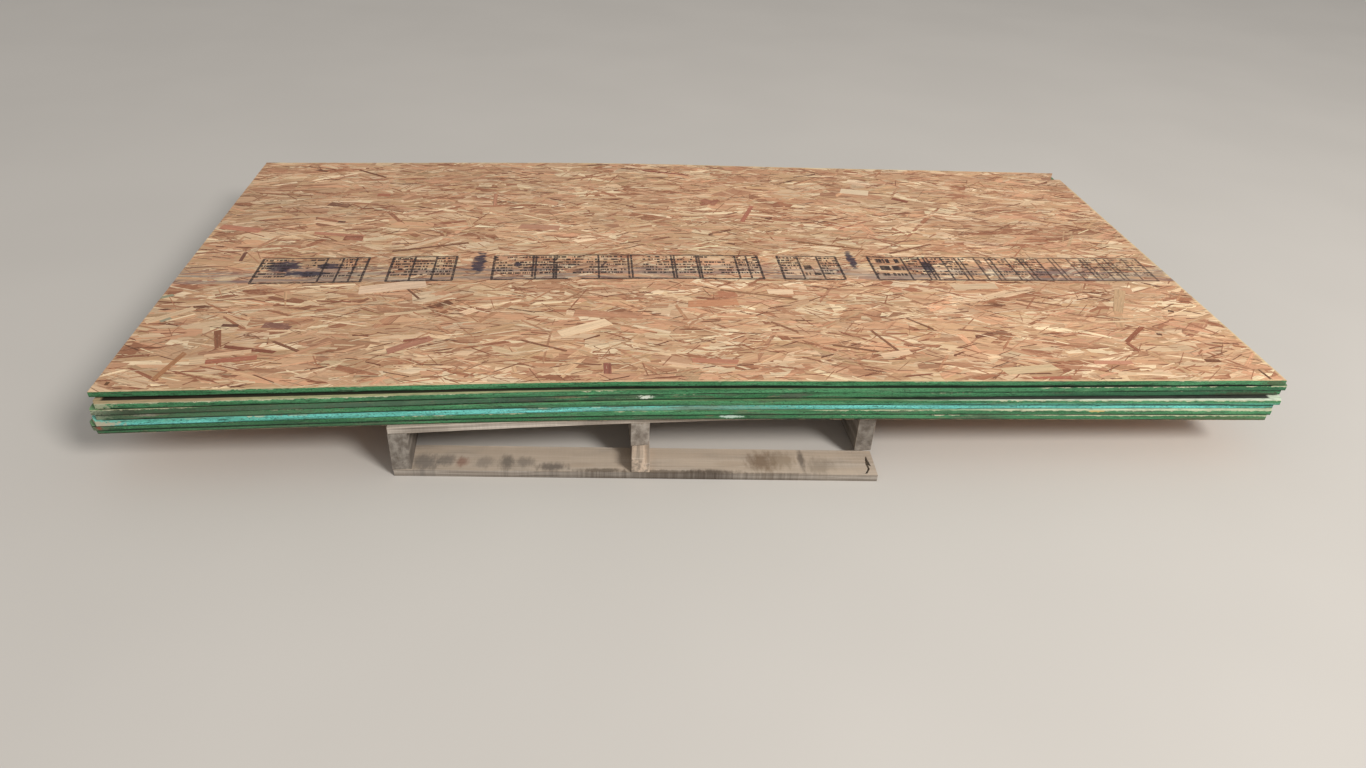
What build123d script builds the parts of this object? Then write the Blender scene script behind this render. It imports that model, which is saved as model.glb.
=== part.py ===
from build123d import *
import os

# A stack of oriented strand board sheets lying across a worn timber pallet.
# Millimetres and degrees. X runs along the long side of the sheets, Y away
# from the viewer and Z up. The finished model stands on z = 0, with the
# middle of its plan at x = 0, y = 0. The sizes below are in the top sheet's
# own plan frame, whose zero is the middle of that sheet.

# Strand board sheets
sheet_length = 2438.4
sheet_width = 1219.2
sheet_thickness = 11.1
sheet_gap = 0.3

# How each sheet lies, from the top one down: its slide along X, its slide
# towards the viewer, its turn, and how far its left and right ends droop
# below the top sheet's.
sheet_lay = [
    (0.0, 0.0, 0.0, 0.0, 0.0),
    (4.2, 10.3, 0.38, 1.0, 1.0),
    (-3.8, 10.8, 0.52, 1.5, 2.0),
    (-1.0, 18.4, 0.03, 3.0, 5.5),
    (-6.8, 17.6, 0.26, 4.0, 6.0),
    (-11.6, 20.5, -0.04, 5.0, 6.5),
    (-12.9, 19.0, -0.24, 5.5, 7.0),
]

# Corners of the sheets that are crushed: the sheet counted from the top, the
# end (-1 left, 1 right), the side (-1 front, 1 back) and the size lost along
# X and along Y.
crushed_corners = [
    (2, -1, -1, 7.0, 12.0),
    (2, 1, -1, 4.0, 8.0),
    (3, -1, -1, 4.0, 8.0),
    (3, 1, -1, 4.0, 9.0),
    (4, -1, -1, 12.0, 18.0),
    (4, 1, -1, 7.0, 12.0),
    (5, -1, -1, 13.0, 17.0),
    (5, 1, -1, 12.0, 16.0),
    (5, 1, 1, 10.0, 7.0),
    (6, -1, -1, 11.0, 15.0),
    (6, 1, -1, 10.0, 15.0),
    (6, -1, 1, 8.0, 15.0),
    (7, -1, -1, 17.0, 22.0),
    (7, 1, -1, 16.0, 20.0),
]

# The top sheet's back right corner has lost a long splinter.
splinter_length = 56.0
splinter_width = 30.0

# The sheets sag over the pallet's sides. The middle stringer is the taller,
# so the sheets and the deck boards under them crown over it.
end_sag = 13.3
overhang_sag = 9.1
sag_reach = 1300.0
top_sheet_lift = 3.0

# Pallet. It lies to the left of the sheets' middle, and its front edge stands
# out a little in front of the top sheet's.
pallet_width = 1006.0
pallet_depth = 1219.2
pallet_x = -170.0
pallet_lead = 8.4
pallet_turn = 2.05
board_thickness = 16.0
seat_gap = 0.1

# Stringers
stringer_width = 38.0
outer_stringer_height = 89.0
middle_stringer_height = 94.0

# Fork notches in the stringers' lower edges, the same distance from each end
notch_from_end = 152.0
notch_length = 229.0
notch_height = 38.0
notch_corner = 14.0

# Deck boards
lead_board_width = 140.0
deck_board_width = 89.0
inner_deck_boards = 5
deck_board_slides = [0.0, 3.0, -2.0, 4.0, -3.0, 1.0, -1.0]

# Bottom boards. The inner ones lie between the stringers' two notches.
bottom_board_width = 84.0
inner_bottom_boards = 3
bottom_board_slides = [-2.0, 3.0, -4.0]

# The front bottom board is loose: it has swung out about its left end.
loose_board_length = 998.0
loose_board_inset = 1.5
loose_board_turn = -4.88

# A crack near the loose board's right end, as points along the board and back
# from its front edge, down its left side and up its right side.
end_crack = [
    (985, 64), (981, 50), (979, 36), (981, 22), (973, 6), (960, 2),
    (977, 6), (985, 21), (984, 34), (990, 30), (987, 48),
]
end_crack_depth = 9.0

# The middle stringer's front foot has split off along the grain at the notch.
foot_crack = 1.6
foot_step_width = 12.0
foot_step_height = 13.0

# Values that follow from the ones above
half_length = sheet_length / 2
half_width = sheet_width / 2
crown = middle_stringer_height - outer_stringer_height
deck_top = 2 * board_thickness + middle_stringer_height
stack_bottom = deck_top + sheet_gap
pallet_front = -half_width - pallet_lead
stringer_reach = (pallet_width - stringer_width) / 2
left_stringer_x = pallet_x - stringer_reach
right_stringer_x = pallet_x + stringer_reach
stringer_bottom = board_thickness
deck_underside = deck_top - board_thickness - seat_gap


def beyond(stringer_x, end_x, reach_x, droop):
    """The sag where a layer's line, run on straight past a sheet's end, stops."""
    return crown + (end_sag + droop - crown) * (reach_x - stringer_x) / (end_x - stringer_x)


def sag_points(lift, left_droop, right_droop):
    """The line that a layer follows from left to right, zero at its highest point."""
    overhang_x = (right_stringer_x + half_length) / 2
    line = [
        (-sag_reach, -beyond(left_stringer_x, -half_length, -sag_reach, left_droop)),
        (left_stringer_x, -crown),
        (pallet_x, 0.0),
        (right_stringer_x, -crown),
        (overhang_x, -overhang_sag - right_droop / 2),
        (sag_reach, -beyond(right_stringer_x, half_length, sag_reach, right_droop)),
    ]
    return [(x, z + lift * ((half_length - x) / sheet_length) ** 2) for x, z in line]


def sagging_layer(bottom, thickness, lift=0.0, left_droop=0.0, right_droop=0.0):
    """A layer wider and longer than the stack that bends over the stringers."""
    line = sag_points(lift, left_droop, right_droop)
    with BuildSketch(Plane.XZ) as section:
        with BuildLine():
            under = Spline(*[(x, z + bottom) for x, z in line])
            over = Spline(*[(x, z + bottom + thickness) for x, z in line])
            Line(under @ 0, over @ 0)
            Line(under @ 1, over @ 1)
        make_face()
    return extrude(section.sketch, amount=sheet_width, both=True)


def tall_prism(outline):
    """An outline in plan, made into a prism as tall as the whole stack."""
    height = deck_top + len(sheet_lay) * (sheet_thickness + sheet_gap) + end_sag
    return extrude(outline, amount=2 * height, both=True)


def corner_cut(end, side, along, across):
    """The plan of a triangle lost at one corner of a sheet."""
    x, y = end * half_length, side * half_width
    return make_face(Polyline((x, y), (x - end * along, y), (x, y - side * across), close=True))


def sheet_outline(number):
    outline = Rectangle(sheet_length, sheet_width)
    for sheet, end, side, along, across in crushed_corners:
        if sheet == number:
            outline -= corner_cut(end, side, along, across)
    if number == 1:
        low = half_width - splinter_length
        outline -= make_face(
            Polyline(
                (half_length, half_width), (half_length - splinter_width, low), (half_length, low), close=True
            )
        )
    return outline


def strand_board_sheet(number):
    """One sheet, counted from the top of the stack."""
    slide, forward, turn, left_droop, right_droop = sheet_lay[number - 1]
    place = Pos(slide, -forward) * Rot(0, 0, turn)
    below = len(sheet_lay) - number
    bottom = stack_bottom + below * (sheet_thickness + sheet_gap)
    lift = top_sheet_lift if number == 1 else 0.0
    layer = sagging_layer(bottom, sheet_thickness, lift, left_droop, right_droop)
    return layer & tall_prism(place * sheet_outline(number))


def on_pallet(shape):
    """Moves a shape from the pallet's own frame, zero at its front middle."""
    return Pos(pallet_x, pallet_front) * Rot(0, 0, pallet_turn) * shape


def board_outline(width, front, slide):
    return Pos(slide, front + width / 2) * Rectangle(pallet_width, width)


def deck_board(number):
    """One of the boards under the sheets, counted from the front."""
    inner_span = pallet_depth - 2 * lead_board_width
    gap = (inner_span - inner_deck_boards * deck_board_width) / (inner_deck_boards + 1)
    if number == 1:
        width, front = lead_board_width, 0.0
    elif number == inner_deck_boards + 2:
        width, front = lead_board_width, pallet_depth - lead_board_width
    else:
        width = deck_board_width
        front = lead_board_width + gap + (number - 2) * (deck_board_width + gap)
    outline = board_outline(width, front, deck_board_slides[number - 1])
    layer = sagging_layer(deck_top - board_thickness, board_thickness)
    return layer & tall_prism(on_pallet(outline))


def bottom_board(front, slide):
    outline = board_outline(bottom_board_width, front, slide)
    return on_pallet(extrude(outline, amount=board_thickness))


def inner_bottom_board(number):
    """One of the bottom boards between the notches, counted from the front."""
    span = pallet_depth - 2 * (notch_from_end + notch_length)
    gap = (span - inner_bottom_boards * bottom_board_width) / (inner_bottom_boards + 1)
    front = notch_from_end + notch_length + gap + (number - 1) * (bottom_board_width + gap)
    return bottom_board(front, bottom_board_slides[number - 1])


def on_loose_board(shape):
    """Moves a shape from the loose board's frame, zero at its front left corner."""
    hinge = Pos(loose_board_inset - pallet_width / 2, 0) * Rot(0, 0, loose_board_turn)
    return on_pallet(hinge * shape)


def loose_bottom_board():
    board = extrude(
        Pos(loose_board_length / 2, bottom_board_width / 2) * Rectangle(loose_board_length, bottom_board_width),
        amount=board_thickness,
    )
    crack = make_face(Polyline(*end_crack, close=True))
    board -= Pos(0, 0, board_thickness) * extrude(crack, amount=-end_crack_depth)
    return on_loose_board(board)


def notch(front, length):
    """A fork notch along Y in a stringer's lower edge, its upper corners round."""
    middle = Pos(0, front + length / 2, stringer_bottom)
    block = Box(2 * stringer_width, length, 2 * notch_height)
    rounded = block.edges().filter_by(Axis.X).group_by(Axis.Z)[-1]
    return middle * fillet(rounded, notch_corner)


def stringer(x, split_foot=False):
    """A stringer along Y at x in the pallet's frame, cut to fit under the deck."""
    height = deck_top - stringer_bottom
    bar = Pos(x, pallet_depth / 2, stringer_bottom + height / 2) * Box(stringer_width, pallet_depth, height)
    for front in (notch_from_end, pallet_depth - notch_from_end - notch_length):
        bar -= Pos(x, 0) * notch(front, notch_length)
    if split_foot:
        lost = notch_from_end + notch_corner
        bar -= Pos(x, lost / 2, stringer_bottom) * Box(2 * stringer_width, lost, 2 * notch_height)
    return on_pallet(bar) - sagging_layer(deck_underside, 2 * board_thickness)


def split_foot():
    """The middle stringer's front foot, standing on the loose board."""
    height = notch_height - foot_crack
    foot = Pos(0, notch_from_end / 2, height / 2) * Box(stringer_width, notch_from_end, height)
    step = Box(foot_step_width, 2 * pallet_depth, foot_step_height)
    foot -= Pos((stringer_width - foot_step_width) / 2, 0, height - foot_step_height / 2) * step
    middle = pallet_width / 2 - loose_board_inset
    return on_loose_board(Pos(middle, 0, stringer_bottom) * foot)


def build_parts():
    parts = {f"osb_sheet_{n}": strand_board_sheet(n) for n in range(1, len(sheet_lay) + 1)}
    for number in range(1, inner_deck_boards + 3):
        parts[f"top_board_{number}"] = deck_board(number)
    parts["stringer_left"] = stringer(-stringer_reach)
    parts["stringer_middle"] = stringer(0.0, split_foot=True)
    parts["stringer_right"] = stringer(stringer_reach)
    parts["stringer_foot_split"] = split_foot()
    parts["bottom_board_front"] = loose_bottom_board()
    for number in range(1, inner_bottom_boards + 1):
        parts[f"bottom_board_inner_{number}"] = inner_bottom_board(number)
    parts["bottom_board_back"] = bottom_board(pallet_depth - bottom_board_width, 0.0)
    return parts


parts = build_parts()
whole = Compound(children=[shape.solid() for shape in parts.values()]).bounding_box()
centred = Pos(-whole.center().X, -whole.center().Y)
os.makedirs("parts", exist_ok=True)
for name, shape in parts.items():
    export_step(centred * shape.solid(), f"parts/{name}.step")
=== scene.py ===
import math

import bmesh
import bpy
import numpy as np
from mathutils import Matrix, Vector
from mathutils.bvhtree import BVHTree


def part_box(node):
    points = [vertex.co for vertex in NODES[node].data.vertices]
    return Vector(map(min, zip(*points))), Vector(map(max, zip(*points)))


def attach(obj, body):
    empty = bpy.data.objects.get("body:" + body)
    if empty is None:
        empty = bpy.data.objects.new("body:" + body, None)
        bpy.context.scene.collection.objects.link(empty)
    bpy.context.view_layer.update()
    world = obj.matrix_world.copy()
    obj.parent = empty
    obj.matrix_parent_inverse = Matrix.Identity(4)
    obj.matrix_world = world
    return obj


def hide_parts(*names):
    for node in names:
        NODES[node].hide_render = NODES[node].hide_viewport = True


bl_info = {
    "name": "Strand board stack",
    "version": (1, 0, 0),
    "blender": (4, 5, 0),
    "location": "3D View > Sidebar > Board stack",
    "description": "Dresses a stack of strand board sheets and the worn pallet under it",
    "category": "Add Mesh",
}

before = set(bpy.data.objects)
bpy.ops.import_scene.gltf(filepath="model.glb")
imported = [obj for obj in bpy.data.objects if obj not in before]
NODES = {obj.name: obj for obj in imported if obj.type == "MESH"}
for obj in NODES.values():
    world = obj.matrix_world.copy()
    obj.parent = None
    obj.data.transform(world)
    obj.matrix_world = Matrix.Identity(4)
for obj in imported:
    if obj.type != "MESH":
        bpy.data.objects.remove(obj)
MM = 0.001

# The camera stands in front of the stack, a little to the left, and looks down on it.
CAMERA_PLACE = (-0.2691, -2.1439, 1.2387)
CAMERA_AZIMUTH = 6.79
CAMERA_DOWN = 33.34
CAMERA_ROLL = 3.155
IMAGE_WIDTH = 1366
FOCAL_PIXELS = 941.0
SENSOR_WIDTH = 36.0

# The floor's reach, the soft light that the camera sees, and the lamp.
FLOOR_REACH = 40
SKY_SEEN = 0.85
LAMP_SIZE = 2.1
LAMP_COLOUR = (1.0, 0.985, 0.965)
LAMP_PLACE = (3.64, -4.9, 4.83)
LAMP_AIM = (0, 0, 0.1)

# The splinter lost from the top sheet's back right corner, along X and along Y.
BITE_X = 0.030
BITE_Y = 0.056

# Where a sheet's heights are taken, and the shortest side that counts as one.
END_INSET = 0.006
HEIGHTS_TAKEN = 121
SHORT_SIDE = 0.3

# Strands are laid in layers from the lowest up: how many, the mean length, the
# mean width, the spread of their directions in degrees, and their six-cornered
# or four-cornered outline.
STRAND_LAYERS = (
    (1500, 0.165, 0.038, 14, 6),
    (1900, 0.140, 0.024, 18, 6),
    (2100, 0.100, 0.0115, 23, 4),
    (4700, 0.056, 0.0032, 24, 4),
)

SHAPES_EACH = 18  # outlines of each kind
FIRST_LIFT = 0.08  # these five in millimetres from the sheet's face
LAYER_LIFT = 0.17
MARKED_LIFT = 0.85
STRAND_TILT = (0.10, 0.07)
STRAND_ROOT = 0.35
SAW_INSET = 0.0002  # strands end this far inside the sheet's outline
STRAY_SHARE = 0.04  # strands that lie any way
STEEP_TURN = 35
BITE_STRAND = (0.022, 0.006)  # length and width near the lost splinter

# Colours of the strands, each with its share of them, and tones by their number.
STRAND_TONES = (
    ((206, 164, 127), 23),
    ((207, 157, 121), 18),
    ((198, 157, 119), 15),
    ((220, 186, 149), 17),
    ((184, 135, 102), 13),
    ((238, 210, 172), 7.5),
    ((166, 113, 83), 6),
    ((150, 98, 72), 2.6),
    ((118, 76, 55), 1.3),
)
FINE_TONES = ((1, 0.04), (3, 0.15), (5, 0.26), (6, 0.13), (7, 0.23), (8, 0.19))
PALE_TONES = (3, 5)
MIDDLE_TONE = 4
DARK_TONE = 6

# Strands that stand out on the top sheet: middle in x and y, length and width
# in millimetres, direction in degrees and colour.
MARKED_STRANDS = (
    (975, -382, 113, 13, 44, (150, 92, 66)),
    (943, -438, 42, 11, -73, (156, 98, 72)),
    (-280, -363, 130, 42, 26, (236, 204, 166)),
    (-232, -527, 44, 19, 89, (150, 94, 76)),
    (-1037, -386, 82, 15, -72, (150, 98, 70)),
    (-963, -429, 120, 12, -13, (140, 84, 62)),
    (-985, -468, 107, 20, 9, (178, 112, 86)),
    (-1001, -446, 96, 18, 11, (224, 184, 146)),
    (-1097, -489, 114, 14, 75, (176, 124, 86)),
    (-1166, -280, 107, 22, 38, (222, 188, 150)),
    (-1029, -329, 38, 14, -5, (112, 74, 58)),
    (-926, -336, 58, 20, -23, (138, 96, 80)),
    (-1191, -547, 7, 12, -2, (110, 76, 50)),
    (-891, 552, 114, 9, -34, (128, 84, 60)),
    (-1040, 576, 38, 9, -25, (120, 80, 58)),
    (-933, 321, 44, 24, 4, (150, 104, 78)),
    (-909, 209, 20, 14, -1, (116, 78, 60)),
    (-900, 130, 136, 20, -10, (190, 130, 102)),
    (-856, 102, 48, 16, -19, (172, 112, 86)),
    (-1018, 62, 87, 14, -1, (176, 122, 92)),
    (-833, 392, 38, 20, -1, (176, 112, 84)),
    (-681, 73, 101, 20, 34, (226, 192, 156)),
    (866, -503, 96, 20, -1, (198, 140, 112)),
    (717, -570, 55, 10, 0, (172, 106, 82)),
    (1100, -496, 38, 14, 0, (120, 78, 54)),
    (1125, -272, 14, 10, -21, (96, 66, 50)),
    (1036, -382, 13, 10, -20, (100, 68, 52)),
    (1019, -220, 129, 30, 61, (196, 160, 122)),
    (368, 71, 183, 9, -14, (142, 98, 66)),
    (183, -189, 68, 26, 1, (232, 200, 164)),
    (678, -151, 128, 38, 3, (206, 176, 142)),
    (1187, -553, 44, 6, -84, (104, 72, 50)),
    (-664, 50, 200, 10, 14, (130, 86, 62)),
    (-669, -194, 70, 6, -56, (128, 88, 66)),
    (165, -357, 76, 9, -39, (150, 104, 76)),
    (303, -446, 108, 9, -15, (132, 90, 64)),
    (132, -205, 190, 8, -14, (150, 110, 80)),
    (-233, -55, 36, 6, 65, (110, 76, 60)),
    (-362, -435, 118, 9, -26, (140, 94, 68)),
    (378, -413, 103, 8, -66, (140, 96, 70)),
    (481, -337, 77, 7, -45, (136, 96, 70)),
    (916, -631, 4, 5, -87, (120, 80, 60)),
    (876, 648, 58, 14, 12, (112, 76, 84)),
    (76, 348, 73, 18, 33, (160, 104, 80)),
    (172, 273, 122, 14, 68, (176, 112, 88)),
    (-1099, 5, 55, 10, -88, (120, 80, 64)),
    (-892, -419, 82, 10, -34, (134, 90, 66)),
    (-1213, -199, 50, 14, 27, (150, 150, 124)),
    (-1170, -301, 25, 12, 42, (168, 160, 134)),
    (-718, -158, 165, 52, 13, (232, 198, 166)),
    (-643, -422, 106, 26, 33, (176, 122, 98)),
    (-634, -401, 53, 10, 11, (150, 92, 70)),
    (-936, -334, 57, 28, -10, (150, 106, 88)),
    (-938, 322, 65, 26, -20, (132, 92, 70)),
    (-859, 109, 49, 26, -1, (150, 96, 72)),
    (-395, 169, 116, 34, -7, (186, 136, 108)),
    (-524, 353, 86, 12, -88, (192, 136, 106)),
    (520, 451, 90, 44, -12, (230, 204, 170)),
    (73, 351, 52, 34, -40, (170, 114, 88)),
    (644, 391, 52, 20, -33, (142, 86, 64)),
    (15, -248, 127, 36, 6, (196, 138, 102)),
    (-9, -499, 103, 22, -5, (190, 130, 102)),
    (388, -468, 79, 24, 14, (226, 190, 154)),
    (699, -562, 91, 9, 2, (172, 106, 82)),
    (-1149, 168, 116, 32, -16, (196, 132, 104)),
    (-228, -303, 165, 34, -6, (190, 138, 106)),
    (665, -529, 135, 30, 9, (211, 182, 143)),
    (577, 60, 153, 9, 24, (140, 96, 70)),
    (-36, 570, 154, 11, -13, (148, 90, 70)),
    (212, 685, 70, 12, -14, (138, 86, 68)),
    (622, -373, 133, 8, -9, (150, 104, 78)),
    (811, -234, 113, 8, -15, (148, 104, 78)),
)

# The printed band across the top sheet: the frames' left and right ends and
# the lines that divide each of them, in millimetres.
BAND_FRAMES = (
    (-1045, -798, (-896, -858, -826)),
    (-740, -589, (-688, -637)),
    (-497, 156, (-403, -396, -352, -346, -244, -171, -163, -63, -56, 0, 6, 98, 127)),
    (208, 360, (259, 310)),
    (
        445,
        1180,
        (533, 580, 593, 602, 640, 677, 689, 730, 760, 772, 815, 850, 862, 900, 935, 947, 985, 1020)
        + (1032, 1065, 1090, 1102, 1140),
    ),
)
BAND_BACK = 0.003
BAND_FRONT = -0.1245
BAND_TURN = 0.62

# Half widths of the band's lines, and the depth of a row of dashes with the
# dashes to the metre.
FRAME_LINE = 0.0032
DIVIDING_LINE = 0.0026
BACK_LINE = 0.0026
FRONT_LINE = 0.0034
SMALL_DASHES = (0.0142, 230)
LARGE_DASHES = (0.0400, 100)

# Blots of ink: middle in x and y and reach both ways, in metres.
INK_BLOTS = (
    (-0.533, -0.040, 0.019, 0.062),
    (0.400, -0.010, 0.013, 0.056),
    (-0.990, -0.050, 0.050, 0.030),
    (-0.930, -0.088, 0.060, 0.014),
    (-0.885, -0.050, 0.034, 0.020),
    (0.590, -0.046, 0.016, 0.036),
    (-0.440, -0.052, 0.012, 0.014),
)

# Lays of cells on the faces: their turns and cells to the metre across, then
# their colours. Each sheet's noise lies a step from the last one's.
FACE_LAYS = ((4, 42), (-13, 60), (17, 75))
FACE_TONES = ((0.0, (150, 100, 76)), (0.3, (190, 146, 112)), (0.6, (206, 166, 130)), (1.0, (228, 196, 160)))
SEED_STEP = 7.3

# Shares along a sheet are read off over this reach either way of its middle.
RAMP_REACH = 1.25

# Each sheet from the top down: its paint, and how worn the paint is at places
# along the front, as (x, share worn).
SHEET_EDGES = (
    ("green", ((-1.22, 0.10), (0.0, 0.05), (1.1, 0.06), (1.22, 0.35))),
    ("green", ((-1.22, 0.45), (-0.9, 0.30), (-0.3, 0.25), (0.5, 0.2), (1.22, 0.25))),
    (
        "green",
        ((-1.22, 0.55), (-1.15, 0.75), (-1.1, 0.40), (-0.73, 0.75), (-0.6, 0.6), (-0.4, 0.75), (-0.2, 0.55))
        + ((0.13, 0.5), (0.3, 0.25), (1.22, 0.35)),
    ),
    ("green", ((-1.22, 0.45), (-1.11, 0.9), (-1.05, 0.35), (0.0, 0.3), (1.22, 0.35))),
    (
        "cyan",
        ((-1.22, 1.0), (-1.195, 0.2), (-0.5, 0.12), (-0.35, 0.5), (0.02, 0.6), (0.12, 0.2), (1.1, 0.12), (1.22, 0.5)),
    ),
    ("green", ((-1.22, 0.3), (0.0, 0.35), (1.22, 0.4))),
    ("green", ((-1.22, 0.4), (0.0, 0.45), (1.22, 0.4))),
)

# How much of each sheet's upper arris is rubbed bare, from the top sheet down,
# as (x, share).
SHEET_ARRISES = (
    ((-1.22, 0.3), (1.22, 0.3)),
    ((-1.22, 0.9), (-0.9, 0.8), (-0.4, 0.55), (0.3, 0.25), (0.7, 0.55), (0.9, 0.95), (1.22, 1.0)),
    ((-1.22, 0.9), (-0.98, 0.6), (-0.85, 0.1), (0.2, 0.15), (1.22, 0.4)),
    ((-1.22, 0.2), (0.2, 0.3), (0.7, 0.6), (0.9, 1.0), (1.22, 1.0)),
    ((-1.22, 0.2), (0.0, 0.25), (1.22, 0.3)),
    ((-1.22, 0.2), (0.0, 0.35), (0.4, 0.7), (0.75, 1.0), (1.22, 1.0)),
    ((-1.22, 0.6), (-1.0, 0.1), (0.3, 0.2), (0.7, 0.8), (1.22, 0.9)),
)

# Painted shade along each sheet's foot, where it meets the sheet below: how much of it shows where it is faintest,
# and how far it darkens the edge where it is full.
SHEET_FOOT_SHADES = (*[(0.15, -0.8)] * 4, (0.1, -0.4), *[(0.85, -0.92)] * 2)

# The sheet with brighter paint, the one with a tinge of cyan, and where along x
# the paint of all is dullest.
BRIGHTER_SHEET = 1
TINGED_SHEET = 4
DULL_MIDDLE = 0.62

# Voids, pits and scrapes of the edges: the pattern of their noise, where on it
# they begin and are full, their strength and their colour.
EDGE_FLAWS = (
    (34, 0, 5.0, 3, 0.61, 0.68, 0.85, (28, 50, 34)),
    (230, 0, 7.0, 2, 0.57, 0.65, 0.7, (26, 46, 32)),
    (24, 2, 18.0, 3, 0.63, 0.69, 0.6, (162, 182, 146)),
)

# How far each sheet from the second down stands out in front of the one above,
# as a length at x = 0 and its change with x, and how much of that lies in its
# shade left and right of where the shade deepens.
SHEET_COVERS = (
    (0.0103, -0.0066, 0.0060, 0.0060),
    (0.0005, -0.0024, 0.0010, 0.0010),
    (0.0076, 0.0086, 0.0012, 0.0080),
    (-0.0008, -0.0040, 0.0005, 0.0005),
    (0.0029, 0.0052, -0.0005, -0.0005),
    (-0.0015, 0.0035, -0.0015, -0.0015),
)
SHADE_DEEPENS = (0.20, 0.48)

# How far down an edge the shade of the sheet above falls for each metre that it
# overhangs, in thicknesses.
SHADE_FALL = 85.0

# Bare strips of the faces in front of the sheet above: the sheet, where along x
# they begin and are full, and their colour.
BARE_STRIPS = (
    (2, -0.18, -0.50, (176, 172, 128)),
    (2, -0.80, -1.00, (182, 156, 120)),
    (4, 0.22, 0.62, (222, 232, 208)),
    (6, 0.30, 0.62, (218, 222, 186)),
    (7, 0.36, 0.70, (162, 180, 142)),
)

# Marks on the front edges: the sheet from the top down, middle along X in
# millimetres, reach along X, middle height and reach as shares of the sheet's
# thickness, colour and strength.
EDGE_MARKS = (
    (3, -1145, 16, 0.4, 0.6, (30, 44, 32), 0.85),
    (3, -1180, 30, 0.5, 0.5, (112, 124, 104), 0.6),
    (3, -727, 40, 0.5, 0.5, (58, 76, 62), 0.7),
    (3, -646, 16, 0.5, 0.4, (48, 66, 50), 0.75),
    (3, -531, 45, 0.5, 0.5, (56, 74, 60), 0.75),
    (3, -411, 75, 0.45, 0.5, (58, 72, 62), 0.8),
    (3, -249, 30, 0.5, 0.4, (58, 80, 62), 0.7),
    (3, 140, 34, 0.5, 0.4, (88, 88, 78), 0.7),
    (4, -1112, 20, 0.75, 0.3, (182, 166, 152), 0.75),
    (3, -157, 13, 0.55, 0.3, (220, 224, 212), 0.95),
    (7, 18, 20, 0.6, 0.34, (192, 212, 198), 0.9),
    (6, 800, 18, 0.95, 0.3, (204, 176, 112), 0.95),
    (5, -80, 200, 0.4, 0.4, (128, 160, 142), 0.55),
    (2, -1210, 34, 0.5, 0.8, (170, 172, 142), 0.8),
    (3, -1216, 34, 0.5, 0.8, (168, 172, 146), 0.85),
    (4, -1214, 30, 0.5, 0.8, (158, 164, 138), 0.85),
    (5, -1206, 40, 0.4, 0.8, (186, 172, 146), 0.9),
    (6, -1216, 26, 0.5, 0.8, (120, 128, 100), 0.8),
    (3, -1000, 260, 0.35, 0.6, (64, 76, 56), 0.75),
    (4, -1000, 220, 0.4, 0.6, (84, 100, 76), 0.6),
    (3, -700, 250, 0.5, 0.6, (84, 116, 92), 0.5),
    (6, -1205, 5, 0.5, 0.5, (150, 60, 50), 0.8),
    (4, -300, 200, 0.3, 0.3, (50, 78, 56), 0.5),
    (2, -550, 250, 0.3, 0.3, (58, 96, 66), 0.4),
    (6, -950, 300, 0.3, 0.5, (36, 66, 44), 0.45),
    (7, -900, 330, 0.3, 0.6, (84, 100, 76), 0.35),
    # Painted shade: a dark line along the top of the seventh sheet's edge, where the sixth overhangs it.
    (7, -860, 380, 0.95, 0.26, (26, 48, 30), 0.9),
    (2, 1100, 150, 0.35, 0.3, (36, 84, 62), 0.6),
    (3, 950, 300, 0.4, 0.6, (44, 82, 60), 0.7),
    (3, 1150, 80, 0.2, 0.4, (70, 62, 48), 0.7),
    (5, 1160, 60, 0.6, 0.5, (62, 128, 100), 0.7),
    (7, 1120, 120, 0.3, 0.5, (84, 92, 60), 0.6),
    (1, 1200, 30, 0.5, 0.5, (78, 72, 50), 0.7),
)

# How the pallet is turned, and how its loose front board is.
PALLET_TURN = 2.05
LOOSE_BOARD_TURN = -2.83
LOOSE_BOARD_CORNER = (-0.6683, -0.6025)

# Painted light and shade: how much lighter or darker some pieces of the one timber are painted, as if lit more or
# less; and the fresh wood of the split.
LEAD_BOARD_PAINTED_LIGHT = 1.5
LOOSE_BOARD_PAINTED_LIGHT = 1.35
STRINGER_PAINTED_LIGHT_AND_SHADE = (("left", 0.8), ("middle", 1.12), ("right", 0.76), ("foot_split", 1.12))
SPLIT_WOOD = (206, 184, 162)

# How round the timber's arrises are, the largest face that counts as one, how
# deep dents go, and the share of corners that are chipped.
ARRIS_ROUND = 0.0016
ARRIS_AREA = 0.00012
DENT = 0.0006
CHIP_SHARE = 0.22

# Stains on the loose board: their middle along it and back from its front
# edge, their reach both ways, in millimetres, their colour and their strength.
BOARD_STAINS = (
    (58, 26, 34, 30, (104, 99, 94), 0.7),
    (100, 34, 24, 20, (106, 100, 94), 0.65),
    (135, 30, 15, 16, (140, 100, 84), 0.7),
    (180, 28, 22, 20, (112, 105, 98), 0.5),
    (226, 28, 16, 26, (90, 84, 77), 0.7),
    (262, 30, 24, 16, (106, 99, 91), 0.6),
    (321, 16, 34, 15, (92, 84, 77), 0.75),
    (420, 6, 60, 7, (90, 78, 66), 0.75),
    (560, 4, 90, 7, (86, 74, 62), 0.7),
    (650, 5, 60, 9, (76, 64, 54), 0.8),
    (780, 2, 90, 3, (92, 80, 68), 0.6),
    (500, 1, 260, 2, (64, 54, 46), 0.4),
    (758, 40, 34, 34, (124, 102, 80), 0.8),
    (800, 46, 30, 30, (140, 122, 100), 0.6),
    (843, 52, 8, 38, (84, 74, 66), 0.7),
    (880, 30, 30, 30, (128, 114, 98), 0.5),
)


def rgb(colour):
    """A colour written as 0 to 255 on the screen, as the renderer's own numbers."""
    part = [c / 255 for c in colour]
    return (*[c / 12.92 if c <= 0.04045 else ((c + 0.055) / 1.055) ** 2.4 for c in part], 1.0)


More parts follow.
